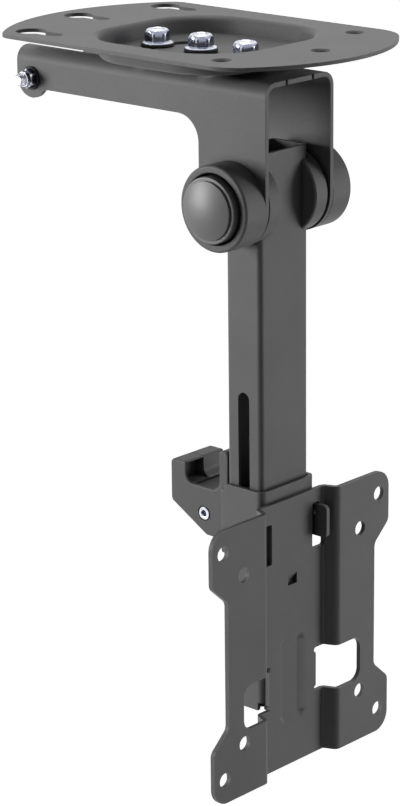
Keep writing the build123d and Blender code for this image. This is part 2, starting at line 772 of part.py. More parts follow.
# Screen plate: centre band stepped back, wings forward, corner tabs with the screw holes
band_bend_outer = band_bend_radius + screen_sheet
screen_bottom = screen_centre_z - screen_bottom_reach
with BuildPart() as screen_plate:
    with BuildSketch(Plane.XY.offset(screen_bottom)):
        with BuildLine():
            FilletPolyline(
                (-screen_half_width, wing_front),
                (-band_half_width - band_run, wing_front),
                (-band_half_width, band_front),
                (band_half_width, band_front),
                (band_half_width + band_run, wing_front),
                (screen_half_width, wing_front),
                radius=(band_bend_outer, band_bend_radius, band_bend_radius, band_bend_outer),
            )
            offset(amount=screen_sheet, side=Side.LEFT)
        make_face()
    extrude(amount=screen_top_reach + screen_bottom_reach)
    screen_face = Plane(origin=(0, wing_front, screen_centre_z), x_dir=(1, 0, 0), z_dir=(0, -1, 0))
    with BuildSketch(screen_face):
        with BuildLine():
            FilletPolyline(
                (screen_half_width, screen_top_reach),
                (screen_half_width, screen_tab_start),
                (screen_waist, screen_waist_half_height),
                (screen_waist, -screen_waist_half_height),
                (screen_half_width, -screen_tab_start),
                (screen_half_width, -screen_bottom_reach),
                (-screen_half_width, -screen_bottom_reach),
                (-screen_half_width, -screen_tab_start),
                (-screen_waist, -screen_waist_half_height),
                (-screen_waist, screen_waist_half_height),
                (-screen_half_width, screen_tab_start),
                (-screen_half_width, screen_top_reach),
                radius=(
                    screen_corner,
                    screen_tab_fillet,
                    screen_tab_fillet,
                    screen_tab_fillet,
                    screen_tab_fillet,
                    screen_corner,
                    screen_corner,
                    screen_tab_fillet,
                    screen_tab_fillet,
                    screen_tab_fillet,
                    screen_tab_fillet,
                    screen_corner,
                ),
                close=True,
            )
        make_face()
    extrude(amount=-(band_step + screen_sheet), mode=Mode.INTERSECT)
    with BuildSketch(screen_face):
        with GridLocations(vesa_large, vesa_large, 2, 2):
            Circle(vesa_hole_radius)
        with GridLocations(vesa_small, vesa_small, 2, 2):
            Circle(vesa_hole_radius)
        for side in (-1, 1):
            with BuildLine():
                FilletPolyline(
                    (side * window_inner, window_top),
                    (side * window_outer, window_top),
                    (side * window_outer, window_bottom),
                    (side * window_inner, window_bottom),
                    radius=(0, window_corner, window_corner, 0),
                    close=True,
                )
            make_face()
            for height in (window_top, window_bottom):
                inset = window_inner_corner * (1 if height > window_bottom else -1)
                with Locations((side * window_inner, height - inset)):
                    Circle(window_inner_corner)
            for outer, top in (
                (upper_window_outer, upper_window_top if side > 0 else slit_top),
                (upper_foot_outer, upper_foot_top),
            ):
                middle = (side * (upper_window_inner + outer) / 2, (top + upper_window_bottom) / 2)
                with Locations(middle):
                    RectangleRounded(
                        outer - upper_window_inner, top - upper_window_bottom, upper_window_corner
                    )
    extrude(amount=-(band_step + screen_sheet), mode=Mode.SUBTRACT)
    with BuildSketch(across()):
        with BuildLine():
            Polyline(
                (band_front, screen_centre_z + lance_top),
                (band_front + screen_sheet, screen_centre_z + lance_foot),
                (band_front + screen_sheet, screen_centre_z + lance_bottom),
                (band_front, screen_centre_z + lance_bottom),
                close=True,
            )
        make_face()
    extrude(amount=lance_half_width, both=True, mode=Mode.SUBTRACT)
    groove_middle = (groove_top + groove_bottom) / 2
    groove_length = groove_top - groove_bottom
    groove_taper = degrees(atan2(groove_slope, groove_depth))
    for growth, start, mode in (
        (bump_growth, band_front + screen_sheet, Mode.ADD),
        (0, band_front, Mode.SUBTRACT),
    ):
        with BuildSketch(Plane(origin=(0, start, screen_centre_z), x_dir=(1, 0, 0), z_dir=(0, 1, 0))):
            with Locations((0, -groove_middle)):
                RectangleRounded(
                    2 * (groove_half_width + growth),
                    groove_length + 2 * growth,
                    groove_corner + growth,
                )
        extrude(amount=groove_depth, taper=groove_taper, mode=mode)
screen_plate.part.label = "screen_plate"
export_step(screen_plate.part, "parts/screen_plate.step")

# Height lock: bolt, washer and threaded block with a nose in the far slot
lock_seat = slider_half_width + lock_washer_sheet
with BuildPart() as lock_washer:
    with BuildSketch(across(slider_half_width)):
        with Locations((pivot_y, lock_z)):
            Circle(lock_washer_radius)
            Circle(lock_bolt_radius + lock_hole_clearance, mode=Mode.SUBTRACT)
    extrude(amount=lock_washer_sheet)
lock_washer.part.label = "lock_washer"
export_step(lock_washer.part, "parts/lock_washer.step")

with BuildPart() as lock_bolt:
    with BuildSketch(across(lock_seat)):
        with Locations((pivot_y, lock_z)):
            Circle(lock_flange_radius)
    extrude(amount=lock_flange_height)
    with BuildSketch(across(lock_seat + lock_flange_height)):
        with Locations((pivot_y, lock_z)):
            RegularPolygon(lock_hex_flats / 2, 6, major_radius=False)
    extrude(amount=lock_head_height - lock_flange_height)
    chamfer(lock_bolt.faces().sort_by(Axis.X)[-1].edges(), hex_edge)
    with BuildSketch(across(lock_seat)):
        with Locations((pivot_y, lock_z)):
            Circle(lock_bolt_radius)
    extrude(amount=-lock_seat)
lock_bolt.part.label = "lock_bolt"
export_step(lock_bolt.part, "parts/lock_bolt.step")

block_reach = tube_width / 2 - tube_wall - block_wall_gap
with BuildPart() as lock_block:
    with BuildSketch(across(block_reach)):
        with Locations((pivot_y, lock_z)):
            Rectangle(block_depth, 2 * block_half_height)
    extrude(amount=-2 * block_reach)
    with BuildSketch(across(-block_reach)):
        with Locations((pivot_y, lock_z)):
            Circle(slot_half_width - block_nose_gap)
    extrude(amount=-(tube_width / 2 - block_reach))
    with BuildSketch(across(block_reach)):
        with Locations((pivot_y, lock_z)):
            Circle(lock_bolt_radius + thread_gap)
    extrude(amount=-(block_reach + thread_gap), mode=Mode.SUBTRACT)
lock_block.part.label = "lock_block"
export_step(lock_block.part, "parts/lock_block.step")

# Latch bracket: closes the slider behind the tube and holds the pin in two lugs
bracket_middle_z = (bracket_top + bracket_bottom) / 2
lug_outer = lug_inner + bracket_sheet
with BuildPart() as latch_bracket:
    with BuildSketch(facing_screen(bracket_back)):
        with Locations((0, bracket_middle_z)):
            RectangleRounded(2 * slider_half_width, bracket_top - bracket_bottom, bracket_corner)
    extrude(amount=bracket_sheet)
    for side in (-1, 1):
        with BuildSketch(across(side * lug_inner)):
            with Locations((latch_pin_y, latch_pin_z)):
                Circle(lug_radius)
            with Locations(((bracket_front + latch_pin_y) / 2, latch_pin_z)):
                Rectangle(latch_pin_y - bracket_front, 2 * lug_radius)
        extrude(amount=side * bracket_sheet)
    with BuildSketch(across()):
        with Locations((latch_pin_y, latch_pin_z)):
            Circle(latch_pin_radius + latch_pin_clearance)
    extrude(amount=lug_outer, both=True, mode=Mode.SUBTRACT)
latch_bracket.part.label = "latch_bracket"
export_step(latch_bracket.part, "parts/latch_bracket.step")

# Latch hook: moulded, open below for the lugs, with a cored tip
tip_inner = latch_tip_outer - latch_tip_thickness
cavity_half_width = latch_half_width - latch_cheek
cavity_roof = latch_recess_floor - latch_cheek
cavity_back = latch_pin_y + lug_radius + lug_clearance
with BuildPart() as latch_hook:
    with BuildSketch(across()) as hook_side:
        with BuildLine():
            FilletPolyline(
                (latch_front, latch_wall_top),
                (latch_recess_front, latch_wall_top),
                (latch_recess_front, latch_recess_floor),
                (tip_inner, latch_recess_floor),
                (tip_inner, latch_tip_top),
                (latch_tip_outer, latch_tip_top),
                (latch_tip_outer, latch_heel_z),
                (latch_chin_y, latch_bottom),
                (latch_foot_y, latch_bottom),
                (latch_front, latch_foot_z),
                radius=(
                    latch_wall_corner,
                    latch_wall_corner,
                    latch_recess_corner,
                    latch_recess_corner,
                    latch_tip_inner_corner,
                    latch_tip_outer_corner,
                    latch_heel_corner,
                    latch_heel_corner,
                    latch_foot_corner,
                    latch_foot_corner,
                ),
                close=True,
            )
        make_face()
    extrude(amount=latch_half_width, both=True)
    outer_faces = latch_hook.faces().filter_by(Axis.X)
    fillet(outer_faces.edges(), latch_edge)
    with BuildSketch(across()):
        with BuildLine():
            Polyline(
                (latch_front, cavity_roof),
                (cavity_back, cavity_roof),
                (cavity_back, latch_bottom),
                (latch_front, latch_bottom),
                close=True,
            )
        make_face()
    extrude(amount=cavity_half_width, both=True, mode=Mode.SUBTRACT)
    with BuildSketch(Plane(origin=(0, tip_inner, 0), x_dir=(1, 0, 0), z_dir=(0, 1, 0))):
        core_left = latch_rim - latch_half_width
        core_top = latch_tip_top - latch_core_roof
        core_middle = (-(latch_core_rib - core_left) / 2, -(core_top + latch_recess_floor) / 2)
        with Locations(core_middle):
            Rectangle(-latch_core_rib - core_left, core_top - latch_recess_floor)
    extrude(amount=latch_core_depth, mode=Mode.SUBTRACT)
    with BuildSketch(Plane.XY.offset(latch_recess_floor)):
        with Locations((0, (latch_recess_front + tip_inner) / 2)):
            Rectangle(-2 * core_left, tip_inner - latch_recess_front - latch_recess_corner)
    extrude(amount=-latch_floor_sink, mode=Mode.SUBTRACT)
    with BuildSketch(across()):
        with Locations((latch_pin_y, latch_pin_z)):
            Circle(latch_pin_radius + latch_pin_grip_gap)
    extrude(amount=latch_half_width, both=True, mode=Mode.SUBTRACT)
    for side in (-1, 1):
        with BuildSketch(across(side * latch_half_width)):
            with Locations((latch_pin_y, latch_pin_z)):
                Circle(latch_sink_radius)
        extrude(amount=-side * latch_head_sink, mode=Mode.SUBTRACT)
latch_hook.part.label = "latch_hook"
export_step(latch_hook.part, "parts/latch_hook.step")

pin_seat = latch_half_width - latch_head_sink
with BuildPart() as latch_pin:
    with BuildSketch(across(-pin_seat)):
        with Locations((latch_pin_y, latch_pin_z)):
            Circle(latch_pin_radius)
    extrude(amount=2 * pin_seat)
    for side in (-1, 1):
        with BuildSketch(across(side * pin_seat)):
            with Locations((latch_pin_y, latch_pin_z)):
                Circle(latch_head_radius)
        extrude(amount=side * latch_head_thickness, taper=latch_rivet_taper)
        with BuildSketch(across(side * (pin_seat + latch_head_thickness))):
            with Locations((latch_pin_y, latch_pin_z)):
                Circle(latch_rivet_bore)
        extrude(amount=-side * latch_head_thickness, mode=Mode.SUBTRACT)
latch_pin.part.label = "latch_pin"
export_step(latch_pin.part, "parts/latch_pin.step")

# Latch spring: a coil round the pin, one leg on the bracket and one under the hook
coil_radius = latch_pin_radius + spring_pin_gap + spring_wire / 2
coil_length = spring_turns * spring_pitch
with BuildPart() as latch_spring:
    with BuildLine() as coil:
        Helix(
            spring_pitch,
            coil_length,
            coil_radius,
            center=(-coil_length / 2, latch_pin_y, latch_pin_z),
            direction=(1, 0, 0),
        )
    with BuildSketch(Plane(origin=coil.line @ 0, z_dir=coil.line % 0)):
        Circle(spring_wire / 2)
    sweep(path=coil.line, is_frenet=True)
latch_spring.part.label = "latch_spring"
export_step(latch_spring.part, "parts/latch_spring.step")
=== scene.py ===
import json
import math

import bmesh
import bpy
from mathutils import Matrix, Vector


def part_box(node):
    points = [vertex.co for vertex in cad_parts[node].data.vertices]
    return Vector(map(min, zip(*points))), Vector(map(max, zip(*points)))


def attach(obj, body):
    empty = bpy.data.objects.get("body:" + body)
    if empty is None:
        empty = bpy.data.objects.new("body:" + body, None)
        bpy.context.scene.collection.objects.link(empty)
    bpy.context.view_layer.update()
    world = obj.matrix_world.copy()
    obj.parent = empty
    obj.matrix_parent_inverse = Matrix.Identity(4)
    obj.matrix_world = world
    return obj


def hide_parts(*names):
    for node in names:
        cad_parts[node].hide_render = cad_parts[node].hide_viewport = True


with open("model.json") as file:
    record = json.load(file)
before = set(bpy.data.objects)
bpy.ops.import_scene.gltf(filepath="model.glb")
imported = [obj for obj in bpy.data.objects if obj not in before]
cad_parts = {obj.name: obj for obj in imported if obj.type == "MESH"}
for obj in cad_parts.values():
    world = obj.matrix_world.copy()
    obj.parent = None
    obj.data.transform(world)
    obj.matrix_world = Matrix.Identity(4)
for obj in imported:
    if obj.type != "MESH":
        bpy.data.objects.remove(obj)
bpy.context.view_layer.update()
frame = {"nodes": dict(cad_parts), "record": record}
nodes = frame["nodes"]
slot_of = {entry["node"]: entry["material_slot"] for entry in frame["record"]["subparts"]}
MM = 0.001
WELD_DISTANCE = 0.000002


def in_mm(value):
    """Metres from the frame as millimetres."""
    return value / MM


def add_object(name, data):
    """A new object in the scene."""
    made = bpy.data.objects.new(name, data)
    bpy.context.scene.collection.objects.link(made)
    return made


# Materials: reaches and reliefs are in metres, noise scales in cells a metre. Shares are of
# open surroundings, from where a crevice's painted shade or an edge's painted highlight
# shows fully to where it doesn't
OCCLUSION_SAMPLES = 6
CREVICE_REACH = 0.0045
CREVICE_SHADE = 0.2
CREVICE_SHARES = (0.25, 0.85)
EDGE_REACH = 0.0006
EDGE_SHARES = (0.35, 0.75)
COAT_CLOUD_SCALE = 30
COAT_CLOUD_SHARE = 0.35
COAT_FINE_SHARE = 0.65
COAT_BLEND_RANGE = (0.36, 0.64)
COAT_SMOOTHER = 0.06
COAT_ROUGHER = 0.08
COAT_BUMP = 0.5
PLATE_CLOUD_SCALE = 620
PLATE_CLOUD_GAIN = 2.2
PLATE_FINE_SCALE = 900
PLATE_SMOOTHER = 0.08
PLATE_ROUGHER = 0.12
PLATE_BUMP = 0.12
PLATE_RELIEF = 0.00004
GLINT = "glint"


def new_material(name, colour, metallic, roughness):
    """A material with one Principled shader, and its node tree to add detail to."""
    material = bpy.data.materials.new(name)
    material.use_nodes = True
    tree = material.node_tree
    shader = tree.nodes["Principled BSDF"]
    shader.inputs["Base Color"].default_value = (*colour, 1)
    shader.inputs["Metallic"].default_value = metallic
    shader.inputs["Roughness"].default_value = roughness
    return material, tree, shader


def object_noise(tree, scale, detail=2.0, roughness=0.5):
    """Noise laid out in the object's own metres, so it stays on the piece as it moves."""
    coordinates = tree.nodes.new("ShaderNodeTexCoord")
    noise = tree.nodes.new("ShaderNodeTexNoise")
    noise.inputs["Scale"].default_value = scale
    noise.inputs["Detail"].default_value = detail
    noise.inputs["Roughness"].default_value = roughness
    tree.links.new(coordinates.outputs["Object"], noise.inputs["Vector"])
    return noise.outputs["Fac"]


def mapped(tree, source, low, high, from_low=0.3, from_high=0.7):
    """A value mapped to a range, and held inside it."""
    node = tree.nodes.new("ShaderNodeMapRange")
    node.inputs["From Min"].default_value = from_low
    node.inputs["From Max"].default_value = from_high
    node.inputs["To Min"].default_value = low
    node.inputs["To Max"].default_value = high
    tree.links.new(source, node.inputs["Value"])
    return node.outputs["Result"]


def colour_mix(tree, factor, dark, light):
    """A blend of two colours by a factor."""
    mix = tree.nodes.new("ShaderNodeMix")
    mix.data_type = "RGBA"
    mix.inputs["A"].default_value = (*dark, 1)
    mix.inputs["B"].default_value = (*light, 1)
    tree.links.new(factor, mix.inputs["Factor"])
    return mix.outputs["Result"]


def add_bump(tree, height, shader, strength, distance):
    """Surface relief from a height value, in metres."""
    bump = tree.nodes.new("ShaderNodeBump")
    bump.inputs["Strength"].default_value = strength
    bump.inputs["Distance"].default_value = distance
    tree.links.new(height, bump.inputs["Height"])
    tree.links.new(bump.outputs["Normal"], shader.inputs["Normal"])


def math_node(tree, operation, first, second):
    """One Math node; an input is a number or another node's output."""
    node = tree.nodes.new("ShaderNodeMath")
    node.operation = operation
    for socket, value in zip(node.inputs, (first, second)):
        if isinstance(value, (int, float)):
            socket.default_value = value
        else:
            tree.links.new(value, socket)
    return node.outputs["Value"]


def nearness(tree, reach, inside):
    """Open share of a small half-ball over the surface, or under it, from 0 to 1."""
    node = tree.nodes.new("ShaderNodeAmbientOcclusion")
    node.samples = OCCLUSION_SAMPLES
    node.inside = inside
    node.inputs["Distance"].default_value = reach
    return node.outputs["AO"]


def painted_shade_and_edge_highlight(tree, colour, shader, edge_gain):
    """Painted shade deep in holes and seams, and a lighter line along outer edges, part painted
    highlight and part worn coat.
    """
    # Painted shade: the colour darkens where the surface is closed in
    painted_hollow_shade = mapped(tree, nearness(tree, CREVICE_REACH, False), CREVICE_SHADE, 1.0, *CREVICE_SHARES)
    # Painted highlight, partly worn coat: the colour lightens along outer edges
    edge_highlight_and_wear = mapped(tree, nearness(tree, EDGE_REACH, True), edge_gain, 1.0, *EDGE_SHARES)
    scale = tree.nodes.new("ShaderNodeMix")
    scale.data_type = "RGBA"
    scale.blend_type = "MULTIPLY"
    scale.inputs["Factor"].default_value = 1.0
    tree.links.new(colour, scale.inputs["A"])
    tree.links.new(math_node(tree, "MULTIPLY", painted_hollow_shade, edge_highlight_and_wear), scale.inputs["B"])
    tree.links.new(scale.outputs["Result"], shader.inputs["Base Color"])


def coated(name, colour, spread, roughness, grain, relief, specular, edge_gain):
    """Powder coat or textured plastic: faint cloudiness, fine grain and fine relief."""
    material, tree, shader = new_material(name, colour, 0.0, roughness)
    shader.inputs["Specular IOR Level"].default_value = specular
    cloud = object_noise(tree, COAT_CLOUD_SCALE, detail=4.0)
    fine = object_noise(tree, grain, detail=3.0, roughness=0.7)
    dark = tuple(c * (1 - spread) for c in colour)
    light = tuple(c * (1 + spread) for c in colour)
    cloud_share = math_node(tree, "MULTIPLY", cloud, COAT_CLOUD_SHARE)
    fine_share = math_node(tree, "MULTIPLY", fine, COAT_FINE_SHARE)
    blend = mapped(tree, math_node(tree, "ADD", cloud_share, fine_share), 0, 1, *COAT_BLEND_RANGE)
    # The colour gets painted shade in crevices and a lighter edge line, painted highlight and
    # partly worn coat
    painted_shade_and_edge_highlight(tree, colour_mix(tree, blend, dark, light), shader, edge_gain)
    rough = mapped(tree, fine, roughness - COAT_SMOOTHER, roughness + COAT_ROUGHER)
    tree.links.new(rough, shader.inputs["Roughness"])
    add_bump(tree, fine, shader, COAT_BUMP, relief)
    return material


def plated(name, colour, flank, roughness, axis, bright_from, bright_to):
    """Plated steel with painted reflection: bright on ends and chamfers, painted shade on the
    flanks round an axis.
    """
    material, tree, shader = new_material(name, colour, 1.0, roughness)
    coordinates = tree.nodes.new("ShaderNodeTexCoord")
    normal = tree.nodes.new("ShaderNodeSeparateXYZ")
    tree.links.new(coordinates.outputs["Normal"], normal.inputs["Vector"])
    # Painted reflection: surfaces facing along the axis get the bright colour, the flanks painted
    # shade
    facing = math_node(tree, "ABSOLUTE", normal.outputs[axis], 0.0)
    cloud = object_noise(tree, PLATE_CLOUD_SCALE, detail=3.0)
    patchy = math_node(tree, "MULTIPLY", math_node(tree, "SUBTRACT", cloud, 0.5), PLATE_CLOUD_GAIN)
    ends = mapped(tree, math_node(tree, "ADD", facing, patchy), 0, 1, bright_from, bright_to)
    # Painted glints where the turned mesh marks them
    glint = tree.nodes.new("ShaderNodeAttribute")
    glint.attribute_name = GLINT
    blend = math_node(tree, "MAXIMUM", ends, glint.outputs["Fac"])
    tree.links.new(colour_mix(tree, blend, flank, colour), shader.inputs["Base Color"])
    fine = object_noise(tree, PLATE_FINE_SCALE)
    rough = mapped(tree, fine, roughness - PLATE_SMOOTHER, roughness + PLATE_ROUGHER)
    tree.links.new(rough, shader.inputs["Roughness"])
    add_bump(tree, fine, shader, PLATE_BUMP, PLATE_RELIEF)
    return material


# Colour, its spread, roughness, grain scale, relief, specular level, lightness of outer edges
# (a painted highlight, partly worn coat)
COATS = {
    "powder_coat": ((0.142, 0.142, 0.143), 0.14, 0.46, 2600, 0.00016, 0.2, 1.7),
    "satin_plastic": ((0.128, 0.128, 0.129), 0.06, 0.48, 3200, 0.00003, 0.24, 1.3),
    "cap_plastic": ((0.118, 0.118, 0.119), 0.05, 0.42, 3200, 0.00002, 0.6, 1.3),
    "hook_plastic": ((0.130, 0.130, 0.131), 0.07, 0.46, 2800, 0.00005, 0.2, 1.7),
    "black_plastic": ((0.014, 0.014, 0.015), 0.10, 0.55, 2400, 0.00004, 0.2, 1.7),
    "black_steel": ((0.010, 0.010, 0.011), 0.10, 0.5, 2400, 0.00004, 0.2, 1.7),
}
ZINC = (0.84, 0.86, 0.92)
ZINC_SHADED_FLANK = (0.30, 0.325, 0.42)
# Colour of the ends and of the flanks, roughness, axis, and where the flanks turn bright.
# The bright ends are painted reflection, the dark flanks painted shade
PLATINGS = {
    "zinc_steel": (ZINC, ZINC_SHADED_FLANK, 0.16, "Z", 0.45, 1.25),
    "zinc_across": (ZINC, ZINC_SHADED_FLANK, 0.16, "X", 0.3, 0.85),
    "zinc_stud": ((0.72, 0.74, 0.79), (0.2, 0.21, 0.26), 0.2, "X", 0.35, 1.0),
    "dark_zinc": ((0.75, 0.77, 0.83), (0.08, 0.085, 0.115), 0.25, "X", 0.8, 1.3),
    "spring_steel": ((0.34, 0.34, 0.36), (0.22, 0.22, 0.24), 0.3, "X", 0.3, 0.85),
}
MATERIALS = {name: coated(name, *look) for name, look in COATS.items()}
MATERIALS |= {name: plated(name, *look) for name, look in PLATINGS.items()}

# CAD nodes: their slot's material, but for these
ACROSS_NODES = ("catch_bolt", "pivot_bolt", "pivot_nut", "pivot_washers", "lock_bolt",
                "lock_washer", "latch_pin")
OWN_MATERIALS = {
    **dict.fromkeys(ACROSS_NODES, "zinc_across"),
    "catch_washers": "black_steel",
    "cap_left": "cap_plastic",
    "cap_right": "cap_plastic",
}
SHARP_NODES = ("latch_spring", "disc_springs")
EDGE_WIDTH = 0.0003
EDGE_ANGLE = math.radians(32)
EDGE_SEGMENTS = 2
FLAT_ANGLE = math.radians(0.5)
FACE_WEIGHT = 80


def soften_edges(node):
    """Joins the split corners of a CAD mesh and breaks its sharp edges by a hair."""
    weld = node.modifiers.new("weld", "WELD")
    weld.merge_threshold = WELD_DISTANCE
    flats = node.modifiers.new("flats", "DECIMATE")
    flats.decimate_type = "DISSOLVE"
    flats.angle_limit = FLAT_ANGLE
    bevel = node.modifiers.new("edge", "BEVEL")
    bevel.width = EDGE_WIDTH
    bevel.segments = EDGE_SEGMENTS
    bevel.limit_method = "ANGLE"
    bevel.angle_limit = EDGE_ANGLE
    bevel.use_clamp_overlap = True
    smooth = node.modifiers.new("smooth", "WEIGHTED_NORMAL")
    smooth.mode = "FACE_AREA"
    smooth.weight = FACE_WEIGHT
    smooth.keep_sharp = False


for name, node in nodes.items():
    node.data.materials.clear()
    node.data.materials.append(MATERIALS[OWN_MATERIALS.get(name, slot_of[name])])
    if name not in SHARP_NODES:
        soften_edges(node)

# Turned fasteners: finer copies of the plain CAD ones, on the same axes and seats, in mm
SEGMENTS = 96
SMOOTH_ANGLE = math.radians(24)
CORNER_SPREAD = 0.4
CORNER_BREAK = 1.135
GLINT_SHARPNESS = 6
UPRIGHT = Matrix.Identity(3)
TOWARDS_RIGHT = Matrix(((0, 0, 1), (0, 1, 0), (-1, 0, 0)))


def hexagon(flats, turn=0.0):
    """Radius of a hexagon by angle, with its corners just broken."""
    def radius(angle):
        off_flat = (angle - turn) % (math.pi / 3) - math.pi / 6
        return min(flats / 2 / math.cos(off_flat), flats / 2 * CORNER_BREAK)
    return radius


def value_at(value, angle):
    """A number, or a function of the angle."""
    return value(angle) if callable(value) else value


def lathe(bm, rows, origin, turn):
    """Adds a closed turned form to a mesh.

    Each row is (height, radius), numbers or functions of the angle. A third value is how bright
    the painted glint is there, from 0 to 1.
    """
    glint = bm.verts.layers.float.get(GLINT) or bm.verts.layers.float.new(GLINT)
    angles = [2 * math.pi * step / SEGMENTS for step in range(SEGMENTS)]
    rings = []
    for height, radius, *shine in rows:
        ring = []
        reaches = [value_at(radius, angle) for angle in angles]
        spread = max(reaches) - min(reaches)
        for angle, reach in zip(angles, reaches):
            flat_point = (reach * math.cos(angle), reach * math.sin(angle))
            point = Vector((*flat_point, value_at(height, angle)))
            vertex = bm.verts.new(Vector(origin) + turn @ point * MM)
            # Painted glint, brightest on a hexagon's corners
            if spread > CORNER_SPREAD:
                vertex[glint] = ((reach - min(reaches)) / spread) ** GLINT_SHARPNESS
            # Or the row's own painted shine
            if shine:
                vertex[glint] = shine[0]
            ring.append(vertex)
        rings.append(ring)
    for lower, upper in zip(rings, rings[1:]):
        for step in range(SEGMENTS):
            after = (step + 1) % SEGMENTS
            bm.faces.new((lower[step], lower[after], upper[after], upper[step]))
    bm.faces.new(list(reversed(rings[0])))
    bm.faces.new(rings[-1])


def turned_piece(name, forms, material, body, replaced):
    """One piece of several turned forms, which rides on a body and stands for a CAD node."""
    bm = bmesh.new()
    for rows, origin, turn in forms:
        lathe(bm, rows, origin, turn)
    bmesh.ops.recalc_face_normals(bm, faces=bm.faces)
    mesh = bpy.data.meshes.new(name)
    bm.to_mesh(mesh)
    bm.free()
    mesh.set_sharp_from_angle(angle=SMOOTH_ANGLE)
    mesh.polygons.foreach_set("use_smooth", [True] * len(mesh.polygons))
    mesh.materials.append(MATERIALS[material])
    piece = add_object(name, mesh)
    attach(piece, body)
    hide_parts(replaced)


# Threads: radius, pitch and depth
M6 = (3.0, 1.0, 0.45)
M5 = (2.5, 0.8, 0.35)
THREAD_END_INSET = 0.35
THREAD_END_HEIGHT = 0.25
THREAD_START = 0.3
THREAD_RUN_OUT = 0.35
STEPS_A_TURN = 6


def thread_rows(bottom, top, radius, pitch, depth):
    """A chamfered end and a run of helical thread, from the bottom up."""
    core = radius - depth

    def ridge(height):
        def at(angle):
            phase = (height / pitch + angle / (2 * math.pi)) % 1
            lead_in = min(1, (height - bottom) / pitch)
            return radius - depth * (1 - (1 - abs(2 * phase - 1)) * lead_in)
        return at

    rows = [(bottom, core - THREAD_END_INSET), (bottom + THREAD_END_HEIGHT, core)]
    steps = int((top - bottom - THREAD_RUN_OUT) / (pitch / STEPS_A_TURN))
    for step in range(1, steps):
        height = bottom + THREAD_START + step * pitch / STEPS_A_TURN
        rows.append((height, ridge(height)))
    rows.append((top, radius))
    return rows


CROWN_RIM = 0.15
# Painted glint on the crown's rim
CROWN_RIM_SHINE = 0.9
CROWN_MIDDLE_HEIGHT = 0.6
CROWN_MIDDLE_REACH = 0.62
# Share of the dish's depth below the top, inset from the crown, painted shine
DISH_PROFILE = ((0, 0.3, 1.0), (0, 0.75, 0.0), (0.7, 1.3), (1, 2.2))
DISH_CENTRE = 0.4


def head_rows(base, top, flats, turn, crown, drop, dish):
    """Hexagon flanks, a turned crown chamfer and a dished top."""
    flank = hexagon(flats, turn)
    rim = top - CROWN_RIM

    def crown_foot(angle):
        return rim - (flank(angle) - crown) * drop

    def crown_middle(angle):
        return crown_foot(angle) + (rim - crown_foot(angle)) * CROWN_MIDDLE_HEIGHT

    def crown_reach(angle):
        return crown + (flank(angle) - crown) * CROWN_MIDDLE_REACH

    rows = [(base, flank), (crown_foot, flank), (crown_middle, crown_reach)]
    rows += [(rim, crown, CROWN_RIM_SHINE)]
    rows += [(top - dish * share, crown - inset, *shine) for share, inset, *shine in DISH_PROFILE]
    return rows + [(top - dish, DISH_CENTRE)]


# Height over the seat, inset from the rim, painted shine
FLANGE_PROFILE = ((0, 0.35), (0.2, 0.05), (0.55, 0, 0.3), (0.85, 0.15, 1.0), (1.0, 0.5))
FLANGE_ROOT = 1.35


def flange_rows(seat, radius, root):
    """A flange with a rounded rim and a top that slopes up to the hexagon's root."""
    rows = [(seat + rise, radius - inset, *shine) for rise, inset, *shine in FLANGE_PROFILE]
    return rows + [(seat + FLANGE_ROOT, root)]


NUT_FACE = 0.96
NUT_CHAMFER = 0.6
BORE_SINK = 0.5


def nut_rows(bottom, top, flats, turn, bore):
    """A hexagon nut chamfered at both ends, with a countersunk bore."""
    flank = hexagon(flats, turn)
    face = flats / 2 * NUT_FACE

    def lower(angle):
        return bottom + (flank(angle) - face) * NUT_CHAMFER

    def upper(angle):
        return top - (flank(angle) - face) * NUT_CHAMFER

    return [
        (top - BORE_SINK, bore),
        (top, bore + BORE_SINK),
        (top, face),
        (upper, flank),
        (lower, flank),
        (bottom, face),
        (bottom, bore + BORE_SINK),
        (bottom + BORE_SINK, bore),
    ]


COLLAR_SHOULDER = 0.42
COLLAR_SLOPE = 0.45
COLLAR_FOOT = 0.05
# Depth below the outer end, inset from the collar's side or reach past the bore's, painted shine
COLLAR_PROFILE = ((0.5, 0, 0.2), (0.15, 0.12, 1.0), (0, 0.45, 1.0))
COLLAR_BORE_PROFILE = ((0.1, 0.35, 0.0), (0.45, 0))


def collar_nut_rows(outer, seat, flats, bore, collar):
    """A locking nut: a hexagon against the seat and a round collar outside it."""
    flank = hexagon(flats)
    face = flats / 2 * NUT_FACE
    shoulder = outer + (seat - outer) * COLLAR_SHOULDER

    def inner_edge(angle):
        return seat - (flank(angle) - face) * NUT_CHAMFER

    def outer_edge(angle):
        return shoulder + (flank(angle) - collar) * COLLAR_SLOPE

    rows = [(seat - BORE_SINK, bore), (seat, bore + BORE_SINK), (seat, face)]
    rows += [(inner_edge, flank), (outer_edge, flank), (shoulder, collar + COLLAR_FOOT)]
    rows += [(outer + depth, collar - inset, shine) for depth, inset, shine in COLLAR_PROFILE]
    rows += [(outer + depth, bore + reach, *shine) for depth, reach, *shine in COLLAR_BORE_PROFILE]
    return rows


def axis_place(low, high):
    """Where the axis of a fastener that lies along X passes the middle plane."""
    return (0, (low.y + high.y) / 2, (low.z + high.z) / 2)


# A shank widens to its head over this height. A crown is its radius, drop and dish
SHANK_STEP = 0.02

